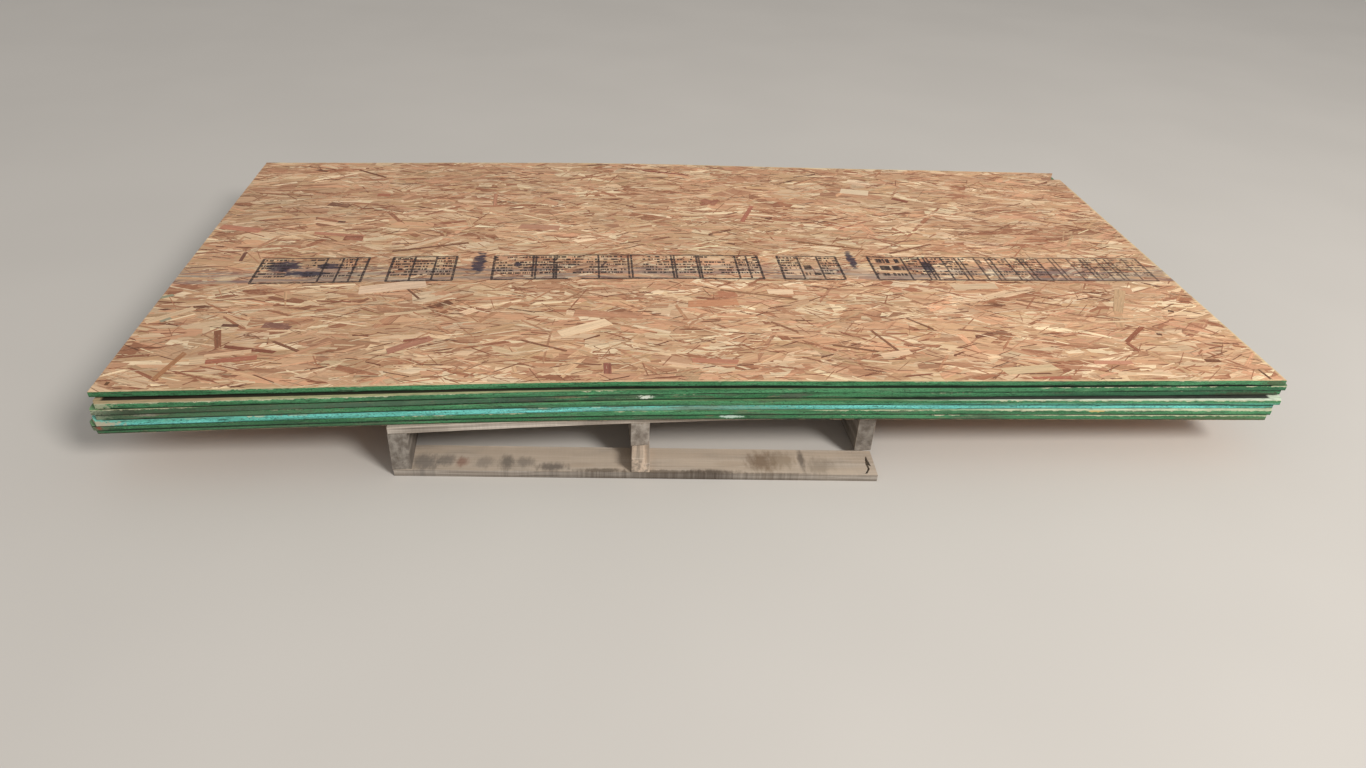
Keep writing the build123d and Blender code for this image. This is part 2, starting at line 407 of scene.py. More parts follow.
class Pattern:
    """Adds and joins the nodes of one material. A value is a number or a node's output, and a
    colour is an output, a setting, or three numbers as on the screen."""

    def __init__(self, name):
        self.material = bpy.data.materials.new(name)
        self.material.use_nodes = True
        self.tree = self.material.node_tree
        self.tree.nodes.clear()

    def add(self, kind, inputs=(), **settings):
        """A node with its settings, and with its inputs in their order or by their keys."""
        node = self.tree.nodes.new(kind)
        for name, value in settings.items():
            setattr(node, name, value)
        for key, value in inputs.items() if isinstance(inputs, dict) else enumerate(inputs):
            self.feed(node.inputs[key], value)
        return node

    def feed(self, socket, value):
        if isinstance(value, bpy.types.NodeSocket):
            self.tree.links.new(value, socket)
        elif socket.type == "RGBA" and len(value) == 3:
            socket.default_value = rgb(value) if isinstance(value, tuple) else (*value, 1.0)
        else:
            socket.default_value = value

    def split(self, vector):
        return self.add("ShaderNodeSeparateXYZ", (vector,)).outputs

    def place(self):
        """The x, y and z of the surface."""
        return self.split(self.add("ShaderNodeTexCoord").outputs["Object"])

    def turned_place(self, corner, degrees):
        """The surface's place along and across something turned, from its corner."""
        place = self.add("ShaderNodeTexCoord").outputs["Object"]
        inputs = {"Vector": place, "Location": (*corner, 0), "Rotation": (0, 0, math.radians(degrees))}
        return self.split(self.add("ShaderNodeMapping", inputs, vector_type="TEXTURE").outputs[0])

    def facing(self):
        """1 where the surface faces up, 0 where it is upright and -1 where it faces down."""
        return self.split(self.add("ShaderNodeNewGeometry").outputs["Normal"])[2]

    def attribute(self, name, output):
        return self.add("ShaderNodeAttribute", attribute_name=name).outputs[output]

    def uv(self, name):
        return self.split(self.add("ShaderNodeUVMap", uv_map=name).outputs[0])

    def vector(self, *parts):
        """A vector of values, each alone or with its scale and maybe a shift."""
        operations = {2: "MULTIPLY", 3: "MULTIPLY_ADD"}
        values = [self.math(operations[len(v)], *v) if isinstance(v, tuple) else v for v in parts]
        return self.add("ShaderNodeCombineXYZ", values).outputs[0]

    def math(self, operation, *values):
        return self.add("ShaderNodeMath", values, operation=operation).outputs[0]

    def times(self, value, *others):
        for other in others:
            value = self.math("MULTIPLY", value, other)
        return value

    def plus(self, a, b):
        return self.math("ADD", a, b)

    def minus(self, a, b):
        return self.math("SUBTRACT", a, b)

    def linear(self, value, slope, start):
        """Value times slope, plus start."""
        return self.math("MULTIPLY_ADD", value, slope, start)

    def far_off(self, places, middles, reaches):
        """How far the surface is from the middle of an ellipse, squared, and 1 at its rim."""
        a, b = (self.math("DIVIDE", self.minus(p, m), r) for p, m, r in zip(places, middles, reaches))
        return self.linear(a, a, self.times(b, b))

    def span(self, value, low, high, to_low=0.0, to_high=1.0):
        """Value between low and high, moved to between to_low and to_high."""
        values = (value, low, high, to_low, to_high)
        return self.add("ShaderNodeMapRange", values, interpolation_type="SMOOTHSTEP").outputs[0]

    def noise(self, place, detail=2.0, roughness=0.5):
        """Noise at a place that is given as the parts of a vector."""
        inputs = {"Vector": self.vector(*place), "Scale": 1.0, "Detail": detail, "Roughness": roughness}
        return self.add("ShaderNodeTexNoise", inputs).outputs[0]

    def cells(self, place, feature="F1"):
        return self.add("ShaderNodeTexVoronoi", {"Vector": place, "Scale": 1.0}, feature=feature).outputs

    def mix(self, share, a, b, blend="MIX"):
        return self.add("ShaderNodeMix", {0: share, 6: a, 7: b}, data_type="RGBA", blend_type=blend).outputs[2]

    def coat(self, under, over, *shares):
        """One colour laid over another, by the product of the shares."""
        return self.mix(self.times(*shares), under, over)

    def shade(self, colour, strength):
        """Colour made darker or lighter by a number."""
        return self.mix(1.0, colour, self.vector(strength, strength, strength), "MULTIPLY")

    def ramp(self, value, stops):
        """Colours or numbers at stops from 0 to 1, and what lies between them."""
        node = self.add("ShaderNodeValToRGB", (value,))
        elements = node.color_ramp.elements
        while len(elements) < len(stops):
            elements.new(0.5)
        for element, (position, shown) in zip(elements, stops):
            element.position = position
            element.color = rgb(shown) if isinstance(shown, tuple) else (shown, shown, shown, 1)
        return node.outputs[0]

    def finish(self, colour, roughness, height, depth, strength, specular):
        """The surface itself, with its relief."""
        bump = self.add("ShaderNodeBump", {"Strength": strength, "Distance": depth, "Height": height})
        surface = {"Base Color": colour, "Roughness": roughness, "Specular IOR Level": specular}
        shader = self.add("ShaderNodeBsdfPrincipled", {**surface, "Normal": bump.outputs[0]})
        self.add("ShaderNodeOutputMaterial", {"Surface": shader.outputs[0]})
        return self.material


def show_material(obj, material):
    obj.data.materials.clear()
    obj.data.materials.append(material)


def add_piece(name, mesh):
    obj = bpy.data.objects.new(name, mesh)
    bpy.context.scene.collection.objects.link(obj)
    return obj


def mark_piece(obj, slot, *replaced):
    """Hangs a piece on the root body and hides the nodes that it takes the place of."""
    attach(obj, "root")
    if replaced:
        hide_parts(*replaced)


def heights_along(node):
    """A sheet's top and underside along its length, as rows of x and z."""
    mesh = NODES[node].data
    tree = BVHTree.FromPolygons([v.co for v in mesh.vertices], [p.vertices for p in mesh.polygons])
    low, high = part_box(node)
    middle = (low.y + high.y) / 2
    x = np.linspace(low.x + END_INSET, high.x - END_INSET, HEIGHTS_TAKEN)
    rows = []
    for start, way in ((high.z + 1, -1), (low.z - 1, 1)):
        rows.append([tree.ray_cast(Vector((a, middle, start)), Vector((0, 0, way)))[0].z for a in x])
    return x, np.array(rows[0]), np.array(rows[1])


def outline_of(node):
    """The corners of a sheet's outline in plan, going round anticlockwise."""
    points = sorted({(round(v.co.x, 5), round(v.co.y, 5)) for v in NODES[node].data.vertices})
    hull = []
    for run in (points, points[::-1]):
        side = []
        for p in run:
            while len(side) > 1:
                a, b = side[-2], side[-1]
                turn = (b[0] - a[0]) * (p[1] - a[1]) - (b[1] - a[1]) * (p[0] - a[0])
                if turn > 1e-5:
                    break
                side.pop()
            side.append(p)
        hull += side[:-1]
    return hull


# ------------------------------------------------------------------ strands


def base_strands(corners, rng, least_long=0.55, least_wide=0.3):
    """Outlines of strands between -1 and 1 both ways, cut from a grid, their ends torn."""
    made = []
    for _ in range(SHAPES_EACH):
        bm = bmesh.new()
        bmesh.ops.create_grid(bm, x_segments=corners // 2 - 1, y_segments=1, size=1)
        for v in bm.verts:
            at_end = abs(v.co.x) > 0.9
            v.co.x = v.co.x * rng.uniform(least_long, 1.0) if at_end else rng.uniform(-0.3, 0.3)
            v.co.y *= rng.uniform(least_wide, 1.0) if at_end else rng.uniform(0.85, 1.1)
        faces = bmesh.ops.extrude_face_region(bm, geom=bm.faces[:], use_keep_orig=True)
        for part in faces["geom"]:
            if isinstance(part, bmesh.types.BMVert):
                part.co.z = -1
        bmesh.ops.recalc_face_normals(bm, faces=bm.faces)
        bm.verts.index_update()
        verts = np.array([v.co[:] for v in bm.verts])
        made.append((verts, [[v.index for v in f.verts] for f in bm.faces]))
        bm.free()
    return made


def in_bite(x, y, corner, reach):
    """Is a point where the top sheet has lost its splinter, or within reach of it?"""
    across = (corner[1] - y) / BITE_Y
    return across < 1 + reach / BITE_Y and x > corner[0] - BITE_X * across - reach


class StrandLayer:
    """Gathers many strands as arrays and makes one mesh of them."""

    def __init__(self, name, node, face, seed):
        self.name, self.node, self.face = name, node, face
        self.rng = np.random.default_rng(seed)
        x, top, under = heights_along(node)
        self.line = x, top if face > 0 else under
        self.shapes = {n: base_strands(n, self.rng) for n in (4, 6)}
        self.shapes["whole"] = base_strands(4, self.rng, 0.85, 0.65)
        self.rows, self.faces, self.count = [], [], 0

    def lay(self, x, y, length, width, degrees, colour, shapes, lift):
        """Adds one strand, lifted so many millimetres from the sheet's face."""
        shape, faces = self.shapes[shapes][self.rng.integers(SHAPES_EACH)]
        flip = self.rng.choice((-1, 1), 2)
        along, across = shape[:, 0] * flip[0] * length / 2, shape[:, 1] * flip[1] * width / 2
        a = math.radians(degrees)
        px = x + along * math.cos(a) - across * math.sin(a)
        py = y + along * math.sin(a) + across * math.cos(a)
        tilt = self.rng.uniform(-1, 1, 2) * STRAND_TILT
        rise = lift + tilt[0] * shape[:, 0] + tilt[1] * shape[:, 1]
        rise = np.where(shape[:, 2] < -0.5, -STRAND_ROOT, rise)
        z = np.interp(px, *self.line) + self.face * rise * MM
        turned = flip[0] * flip[1] * self.face < 0
        self.faces += [[i + self.count for i in (f[::-1] if turned else f)] for f in faces]
        self.count += len(shape)
        tone = np.repeat([(*colour[:3], self.rng.uniform())], len(shape), 0)
        start = self.rng.uniform(0, 40, 2)
        grain, sides = (along + start[0], across + start[1]), (width / 2 + across, width / 2 - across)
        self.rows.append(np.column_stack((px, py, z, tone, *grain, *sides)))

    def make(self):
        mesh = bpy.data.meshes.new(self.name)
        places, tones, grain, sides = np.split(np.vstack(self.rows), (3, 7, 9), axis=1)
        mesh.from_pydata(places.tolist(), [], self.faces)
        corner_vert = np.empty(len(mesh.loops), np.int32)
        mesh.loops.foreach_get("vertex_index", corner_vert)
        tone = mesh.attributes.new("strand_tone", "FLOAT_COLOR", "POINT")
        tone.data.foreach_set("color", tones.astype(np.float32).ravel())
        for name, rows in (("strand_grain", grain), ("strand_sides", sides)):
            layer = mesh.uv_layers.new(name=name)
            layer.data.foreach_set("uv", rows[corner_vert].astype(np.float32).ravel())
        self.trim(mesh)
        return add_piece(self.name, mesh)

    def trim(self, mesh):
        """Saws the strands off at the sheet's edges and closes the cuts."""
        bm = bmesh.new()
        bm.from_mesh(mesh)
        hull = outline_of(self.node)
        for a, b in zip(hull, hull[1:] + hull[:1]):
            way = Vector((b[1] - a[1], a[0] - b[0], 0)).normalized()
            start = Vector((*a, 0)) - way * SAW_INSET
            everything = bm.verts[:] + bm.edges[:] + bm.faces[:]
            cut = bmesh.ops.bisect_plane(
                bm, geom=everything, dist=1e-7, plane_co=start, plane_no=way, clear_outer=True
            )
            edges = [e for e in cut["geom_cut"] if isinstance(e, bmesh.types.BMEdge) and e.is_boundary]
            bmesh.ops.holes_fill(bm, edges=edges, sides=0)
        bm.to_mesh(mesh)
        bm.free()


def lay_strands(name, node, face, seed, marked):
    """Covers one face of a sheet with strands laid by chance, and the marked ones on top."""
    settings = bpy.context.scene.board_strands
    layer = StrandLayer(name, node, face, seed)
    rng = layer.rng
    low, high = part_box(node)
    corner = (high.x, high.y)
    tones = np.array([rgb(c)[:3] for c, _ in STRAND_TONES])
    shares = np.array([s for _, s in STRAND_TONES], float)
    shares /= shares.sum()
    fine_tones, fine_shares = zip(*FINE_TONES)
    for level, (count, length, width, spread, corners) in enumerate(STRAND_LAYERS):
        lift = FIRST_LIFT + LAYER_LIFT * level
        for _ in range(round(count * settings.density)):
            x = rng.uniform(low.x - 0.02, high.x + 0.02)
            y = rng.uniform(low.y - 0.01, high.y + 0.01)
            long = length * settings.length_scale * rng.lognormal(0, 0.32)
            wide = width * settings.width_scale * rng.lognormal(0, 0.38)
            turn = rng.normal(1.0, spread) if rng.uniform() > STRAY_SHARE else rng.uniform(-80, 80)
            pick = rng.choice(len(tones), p=shares)
            # Dark tones are left to the upper layers, and steep strands have middle tones.
            if level < 2 and pick > DARK_TONE:
                pick -= 5
            if level == len(STRAND_LAYERS) - 1:
                pick = rng.choice(fine_tones, p=fine_shares)
            if abs(turn) > STEEP_TURN:
                pick = MIDDLE_TONE if pick in PALE_TONES else min(pick, DARK_TONE)
            colour = tones[pick] * rng.normal(1, 0.075) * rng.normal(1, 0.012, 3)
            if face > 0 and in_bite(x, y, corner, max(long, wide) / 2):
                if not in_bite(x, y, corner, 0.012):
                    layer.lay(x, y, *BITE_STRAND, turn, colour, 4, lift)
                continue
            colour = np.clip(colour, 0.01, 0.95)
            layer.lay(x, y, long, wide, turn, colour, corners, lift + rng.uniform(0, 0.12))
    for *sizes, turn, colour in marked:
        layer.lay(*(size * MM for size in sizes), turn, rgb(colour), "whole", MARKED_LIFT)
    return layer.make()


def dash_rows(p, x, y, deep, fine):
    """Rows of plain ink dashes, a number of them to the metre, each row of one depth."""
    place = p.math("DIVIDE", y, deep)
    number = p.math("FLOOR", place)
    row = p.math("COMPARE", p.math("FRACT", place), 0.5, 0.30)
    stroke = p.noise(((x, fine), (number, 3.7)), 1)
    word = p.noise(((x, fine * 0.13), (number, 5.3), 4.0), 1)
    return p.times(p.span(stroke, 0.44, 0.48), p.span(word, 0.40, 0.45), row)


def board_ink(p, x, y):
    """How much ink the lines and the dashes leave, and where their band lies."""
    y = p.linear(x, -math.tan(math.radians(BAND_TURN)), y)
    band = p.times(
        p.span(y, BAND_FRONT - 0.001, BAND_FRONT + 0.001), p.span(y, BAND_BACK + 0.001, BAND_BACK - 0.001)
    )
    inside, lines = 0.0, 0.0
    for left, right, dividers in BAND_FRAMES:
        middle, half = (left + right) / 2 * MM, (right - left) / 2 * MM
        inside = p.plus(inside, p.math("COMPARE", x, middle, half + 0.002))
        for place in (left, *dividers, right):
            wide = FRAME_LINE if place in (left, right) else DIVIDING_LINE
            lines = p.math("MAXIMUM", lines, p.math("COMPARE", x, place * MM, wide))
    rails = p.plus(p.math("COMPARE", y, BAND_BACK, BACK_LINE), p.math("COMPARE", y, BAND_FRONT, FRONT_LINE))
    drawn = p.math("MAXIMUM", p.times(lines, band), p.times(rails, inside))
    patchy = p.span(p.noise(((x, 90), (y, 160)), 3), 0.34, 0.5)
    faded = p.span(x, 0.5, 1.2, 1.0, 0.72)
    drawn = p.times(drawn, faded, p.linear(patchy, 0.45, 0.55))
    part = p.noise(((x, 9), 2.0, 3.0), 1)
    small = p.times(dash_rows(p, x, y, *SMALL_DASHES), p.span(part, 0.42, 0.46))
    large = p.times(dash_rows(p, x, y, *LARGE_DASHES), p.span(part, 0.42, 0.38))
    clear = p.span(y, BAND_FRONT + 0.018, BAND_FRONT + 0.026)
    dashes = p.times(p.math("MAXIMUM", small, large), clear, p.times(band, inside))
    return drawn, p.times(dashes, faded, p.linear(patchy, 0.35, 0.65)), band


def edge_distance(p, x, y, node):
    """How far in from the nearest side of a sheet the surface is."""
    hull = outline_of(node)
    nearest = None
    for a, b in zip(hull, hull[1:] + hull[:1]):
        span = math.hypot(b[0] - a[0], b[1] - a[1])
        if span < SHORT_SIDE:
            continue
        nx, ny = (a[1] - b[1]) / span, (b[0] - a[0]) / span
        inside = p.linear(x, nx, p.linear(y, ny, -(a[0] * nx + a[1] * ny)))
        nearest = inside if nearest is None else p.math("MINIMUM", nearest, inside)
    return nearest


def strand_material():
    """The face of the boards: every strand has its own tone and grain."""
    p = Pattern("strand_face")
    ink = bpy.context.scene.board_ink
    tone = p.attribute("strand_tone", "Color")
    chance = p.attribute("strand_tone", "Alpha")
    u, v, _ = p.uv("strand_grain")
    streaks = p.noise(((u, 9), (v, 260)), 3, 0.6)
    fine = p.noise(((u, 30), (v, 1100)))
    colour = p.shade(tone, p.linear(p.plus(streaks, p.times(fine, 0.6)), 1.12, 0.15))
    # Painted shade: a dark rim along one long side of many strands, as in the crevices between them.
    left, right, _ = p.uv("strand_sides")
    rim = p.span(p.math("MINIMUM", left, p.plus(right, 0.0006)), 0.0, 0.0021, 1.0, 0.0)
    colour = p.coat(colour, (106, 66, 45), rim, p.span(chance, 0.25, 0.95, 0.12, 0.92))
    flecks = p.noise(((u, 55), (v, 420), 7.0), 2, 0.6)
    colour = p.coat(colour, (230, 202, 165), p.span(flecks, 0.62, 0.7, 0.0, 0.6))
    colour = p.coat(colour, (130, 88, 62), p.span(flecks, 0.36, 0.29, 0.0, 0.6))

    # The rim of the sheet is paler; painted shade makes its left a little darker.
    x, y, _ = p.place()
    lip = edge_distance(p, x, y, "osb_sheet_1")
    ragged = p.noise(((x, 40), (y, 40)), 3, 0.6)
    pale = p.span(p.linear(ragged, -0.016, lip), 0.0, -0.006)
    colour = p.coat(colour, (226, 206, 160), pale, p.span(x, -1.205, -1.17, 0.15, 1.0), 0.6)
    broad = p.noise(((x, 2.2), (y, 3.1)))
    colour = p.shade(colour, p.span(broad, 0.3, 0.7, 0.93, 1.05))
    colour = p.shade(colour, p.span(x, -1.2, 0.6, 0.92, 1.0))

    # The ink, from smears up to lines.
    drawn, dashes, band = board_ink(p, x, y)
    smudge = p.noise(((x, 45), (y, 110), 2.0), 3, 0.6)
    smear = p.noise(((x, 5), (y, 70), 5.0), 3, 0.55)
    low_down = p.span(p.linear(x, -0.0108, y), -0.03, -0.075)
    colour = p.coat(colour, ink.smear, p.span(smear, 0.4, 0.58), low_down, band, 0.6)
    blots = 0.0
    for middle, back, reach, deep in INK_BLOTS:
        far = p.far_off((x, y), (middle, back), (reach, deep))
        blots = p.math("MAXIMUM", blots, p.span(p.linear(smudge, 3.4, far), 2.75, 2.1))
    for over, share, strength in ((ink.blot, blots, 0.88), (ink.colour, dashes, 0.95), (ink.colour, drawn, 0.9)):
        colour = p.coat(colour, over, share, strength)
    relief = p.plus(streaks, p.times(fine, 0.4))
    return p.finish(colour, p.linear(streaks, 0.2, 0.62), relief, 0.0004, 0.5, 0.3)


# ------------------------------------------------------------------- sheets


def polynomial(p, x, terms):
    total = float(terms[0])
    for term in terms[1:]:
        total = p.linear(total, x, float(term))
    return total


def along_sheet(p, x, places):
    """A share that is given at places along a sheet, and what lies between them."""
    stops = [((a + RAMP_REACH) / (2 * RAMP_REACH), share) for a, share in places]
    return p.ramp(p.linear(x, 0.5 / RAMP_REACH, 0.5), stops)


def face_pattern(p, x, y, seed):
    """A sheet's faces, three crossing lays of long cells, and the grain in them."""
    faces, cracks = (200, 160, 126), (0, 0, 0, 1)
    for turn, wide in FACE_LAYS:
        a = math.radians(turn)
        along = p.linear(x, math.cos(a), p.times(y, math.sin(a)))
        across = p.linear(y, math.cos(a), p.times(x, -math.sin(a)))
        place = p.vector((along, 9.0), (across, wide), seed + turn)
        edge = p.span(p.cells(place, "DISTANCE_TO_EDGE")["Distance"], 0.0, 0.06, 1.0, 0.0)
        chosen = p.span(p.noise(((x, 14), (y, 34), seed * turn), 1), 0.48, 0.5)
        faces = p.coat(faces, p.ramp(p.cells(place)["Color"], FACE_TONES), chosen)
        cracks = p.coat(cracks, p.vector(edge, edge, edge), chosen)
    grain = p.noise(((x, 11), (y, 330), seed), 3, 0.6)
    faces = p.shade(faces, p.linear(grain, 0.5, 0.75))
    return p.coat(faces, (112, 74, 52), cracks, 0.55), grain


def edge_paint(p, number, x, along, height, layers, streaks):
    """The sprayed paint of a sheet's edges."""
    paints = bpy.context.scene.board_paint
    name = SHEET_EDGES[number - 1][0]
    blotch = p.span(streaks(3.5, 0, 0.7, 2, 0.5), 0.35, 0.65)
    paint = p.coat(getattr(paints, name), getattr(paints, name + "_deep"), blotch)
    paint = p.shade(paint, p.span(layers, 0.25, 0.75, 0.74, 1.2))
    paint = p.shade(paint, p.span(streaks(210, 0, 6.0, 2), 0.3, 0.7, 0.8, 1.16))
    paint = p.shade(paint, p.span(p.math("ABSOLUTE", p.minus(x, DULL_MIDDLE)), 0.05, 0.30, 0.84, 1.0))
    if number == BRIGHTER_SHEET:
        paint = p.shade(paint, p.span(p.math("ABSOLUTE", x), 0.3, 0.6, 1.13, 1.0))
    if number == TINGED_SHEET:
        line = p.linear(p.noise(((along, 12), SEED_STEP * number, 1.0)), 0.4, height)
        paint = p.coat(paint, paints.cyan_deep, p.span(line, 0.75, 0.35), p.span(x, 0.1, 0.6, 0.0, 0.6))
    return paint


def sheet_material(number):
    """A whole sheet: strands on its faces and sprayed paint on its edges."""
    node = f"osb_sheet_{number}"
    p = Pattern(f"strand_board_{number}")
    x, y, z = p.place()
    seed = SEED_STEP * number
    long_x, top, under = heights_along(node)
    bottom = polynomial(p, x, np.polyfit(long_x, under, 6))
    height = p.math("DIVIDE", p.minus(z, bottom), float((top - under).mean()))
    faces, grain = face_pattern(p, x, y, seed)

    # Along runs along every side of the sheet.
    along = p.plus(x, y)

    def streaks(waves, shift, up=0.0, detail=3, roughness=0.6):
        """Noise with so many waves to the metre of edge, and so many to its thickness."""
        return p.noise(((along, waves), seed + shift, (height, up) if up else 0.0), detail, roughness)

    layers = p.noise(((along, 9), 0.0, (height, 7.0, seed)), 3, 0.6)
    patches = streaks(17, 0, 1.6)
    paint = edge_paint(p, number, x, along, height, layers, streaks)
    raw = p.coat((96, 92, 68), (138, 130, 98), p.span(layers, 0.3, 0.7))
    dirt = p.coat((62, 84, 62), (104, 112, 88), p.span(patches, 0.3, 0.7))
    limit = p.linear(along_sheet(p, x, SHEET_EDGES[number - 1][1]), -0.42, 0.84)
    dirty = p.span(p.minus(streaks(11, 3, 1.2, 3, 0.5), limit), -0.18, 0.02)
    edges = p.coat(paint, dirt, dirty, 0.8)
    edges = p.coat(edges, raw, p.span(p.minus(patches, limit), -0.015, 0.03), 0.8)
    rub, fret = streaks(5.5, 9, detail=4), streaks(60, 4)
    share = along_sheet(p, x, SHEET_ARRISES[number - 1])
    rubbed = p.times(
        p.span(p.linear(share, 0.34, rub), 0.64, 0.74), p.span(p.linear(share, 0.25, fret), 0.5, 0.6)
    )
    near_top = p.span(p.plus(height, fret), 1.36, 1.44)
    edges = p.coat(edges, (204, 202, 170), near_top, rubbed, 0.9)
    # Painted shade at the foot of the edge, where the sheet below meets it.
    least, deepest = SHEET_FOOT_SHADES[number - 1]
    broken = p.span(streaks(7, 6, roughness=0.5), 0.36, 0.56, least, 1.0)
    foot_shade = p.times(p.span(height, 0.30, 0.04), broken)
    edges = p.shade(edges, p.linear(foot_shade, deepest, 1.0))
    edges = p.shade(edges, p.span(streaks(16, 8, 22.0), 0.34, 0.46, 0.62, 1.0))
    flaws = []
    for *pattern, low, high, strength, tint in EDGE_FLAWS:
        flaws.append(p.span(streaks(*pattern), low, high))
        edges = p.coat(edges, tint, flaws[-1], strength)

    in_front = p.span(y, -0.50, -0.59)
    torn = streaks(130, 1, 2.6, roughness=0.65)
    for sheet, middle, reach, level, tall, tint, strength in EDGE_MARKS:
        if sheet == number:
            far = p.math("SQRT", p.far_off((x, height), (middle * MM, level), (reach * MM, tall)))
            edges = p.coat(edges, tint, p.span(p.linear(torn, 3.4, far), 3.1, 2.3), in_front, strength)

    lip = edge_distance(p, x, y, node)
    if number > 1:
        # The faces are painted a little way in from the edges too.
        reach = p.linear(patches, -0.03, p.minus(lip, 0.005 if number > 2 else -0.002))
        faces = p.coat(faces, paint, p.span(reach, 0.0, -0.004), 0.85)
        for sheet, first, last, tint in BARE_STRIPS:
            if sheet == number:
                wander = p.linear(p.minus(rub, 0.5), 0.5, x)
                frayed = p.noise(((x, 46), (y, 260), seed), 3, 0.65)
                strip = p.shade(tint, p.span(frayed, 0.35, 0.7, 0.82, 1.12))
                bare = p.span(frayed, 0.30, 0.42, 0.25, 0.92)
                faces = p.coat(faces, strip, p.span(wander, first, last), bare)

        # The sheet above covers this one's face and shades its edge: painted shade darkens the face under it and the
        # top of the edge below its overhang.
        start, slope, *shades = SHEET_COVERS[number - 2]
        stands_out = p.linear(x, slope, start)
        cover = p.minus(p.plus(lip, p.span(x, *SHADE_DEEPENS, *shades)), stands_out)
        off_ends = p.span(p.math("ABSOLUTE", x), 1.198, 1.190)
        covered = p.times(p.span(cover, -0.0018, 0.0004, 0.0, 0.94), off_ends)
        faces = p.shade(faces, p.minus(1.0, covered))
        overhung = p.minus(p.minus(height, p.times(stands_out, SHADE_FALL)), 1.0)
        edges = p.shade(edges, p.span(p.times(overhung, in_front), -0.06, 0.06, 1.0, 0.24))
    rim = p.span(lip, 0.0016, 0.0006)
    faces = p.coat(faces, (210, 200, 160), rim, p.span(y, -0.58, -0.60), rubbed, 0.8)

    facing = p.facing()
    upright = p.math("LESS_THAN", p.math("ABSOLUTE", facing), 0.5)
    # Painted shade: every sheet but the lowest is darker where its faces look down.
    if number < len(SHEET_EDGES):
        faces = p.shade(faces, p.span(facing, -0.6, -0.4, 0.3, 1.0))
    relief = p.plus(p.times(grain, 0.5), p.times(p.minus(layers, flaws[0]), upright))
    roughness = p.span(layers, 0.2, 0.8, 0.5, 0.85)
    return p.finish(p.coat(faces, edges, upright), roughness, relief, 0.0006, 0.7, 0.35)


# ------------------------------------------------------------------- timber


def timber_material(name, corner, turn, light, dust, lengthwise, stains, shade):
    """Rough sawn, weathered pallet timber with its grain along one way."""
    p = Pattern(name)
    along, across, up = p.turned_place(corner, turn)
    if lengthwise == "y":
        along, across = across, along
    seed = (corner[0] * 37.0 + corner[1] * 91.0) % 17.0
    wobble = p.noise(((along, 3.0), (across, 8.0), seed))
    fine = 150 if lengthwise == "x" else 62
    rings = p.noise(((along, 2.2), (across, fine, p.times(wobble, 4)), (up, fine, seed)), 3, 0.62)
    fibres = p.noise(((along, 16), (across, 900), (up, 900, seed)), 2, 0.6)
    cloud = p.noise(((along, 6), (across, 14), (up, 14, seed + 2)), 3, 0.6)
    colour = p.coat(bpy.context.scene.pallet_timber.dark, light, p.span(rings, 0.3, 0.7))
    colour = p.shade(colour, p.linear(fibres, 0.55, 0.72))
    colour = p.coat(colour, (96, 86, 76), p.span(cloud, 0.48, 0.72, 0.0, 0.5))
    saw = p.noise(((along, 260), (across, 6), (up, 6)), 1)
    colour = p.shade(colour, p.span(saw, 0.3, 0.7, 0.94, 1.05))
    if lengthwise == "x":
        knots = p.cells(p.vector((along, 3.1), (across, 12), (up, 9, seed)))["Distance"]
        colour = p.coat(colour, (86, 68, 54), p.span(knots, 0.14, 0.07, 0.0, 0.6))
    splits = p.span(p.noise(((along, 5), (across, 420), (up, 420, seed + 5)), 1), 0.72, 0.76)
    colour = p.coat(colour, (46, 38, 32), splits, 0.75)
    specks = p.span(p.noise(((along, 340), (across, 420), (up, 420))), 0.68, 0.74)
    colour = p.coat(colour, (62, 54, 48), specks, 0.45)

    # Dust lies on top, the ground stains the foot, and arrises are rubbed pale.
    top = p.span(p.facing(), 0.5, 0.9)
    dusty = p.span(p.noise(((along, 9), (across, 22), seed + 8), 3), 0.2, 0.6, dust * 0.5, dust)
    colour = p.coat(colour, (174, 157, 138), top, dusty)
    ground = p.span(up, 0.012, 0.0, 0.0, 0.5)
    colour = p.coat(colour, (70, 60, 50), ground, p.minus(1.0, top))
    colour = p.coat(colour, (192, 178, 160), p.attribute("arris", "Fac"), p.span(cloud, 0.35, 0.55), 0.6)
    # Painted light and shade: the whole piece made lighter or darker, as if lit more or less.
    colour = p.shade(colour, shade)
    strokes = p.noise(((along, 95), (across, 34), 1.0), 4, 0.7)
    for middle, back, reach, deep, stain, strength in stains:
        far = p.far_off((along, across), (middle * MM, back * MM), (reach * MM, deep * MM))
        ragged = p.linear(strokes, 1.8, p.minus(p.math("SQRT", far), 0.9))
        colour = p.coat(colour, stain, p.span(ragged, 1.35, 0.30), strength)
    relief = p.plus(p.times(rings, 0.7), p.times(fibres, 0.5))
    relief = p.plus(relief, p.minus(p.times(saw, 0.25), splits))
    return p.finish(colour, p.span(fibres, 0.2, 0.8, 0.72, 0.95), relief, 0.0012, 0.7, 0.22)


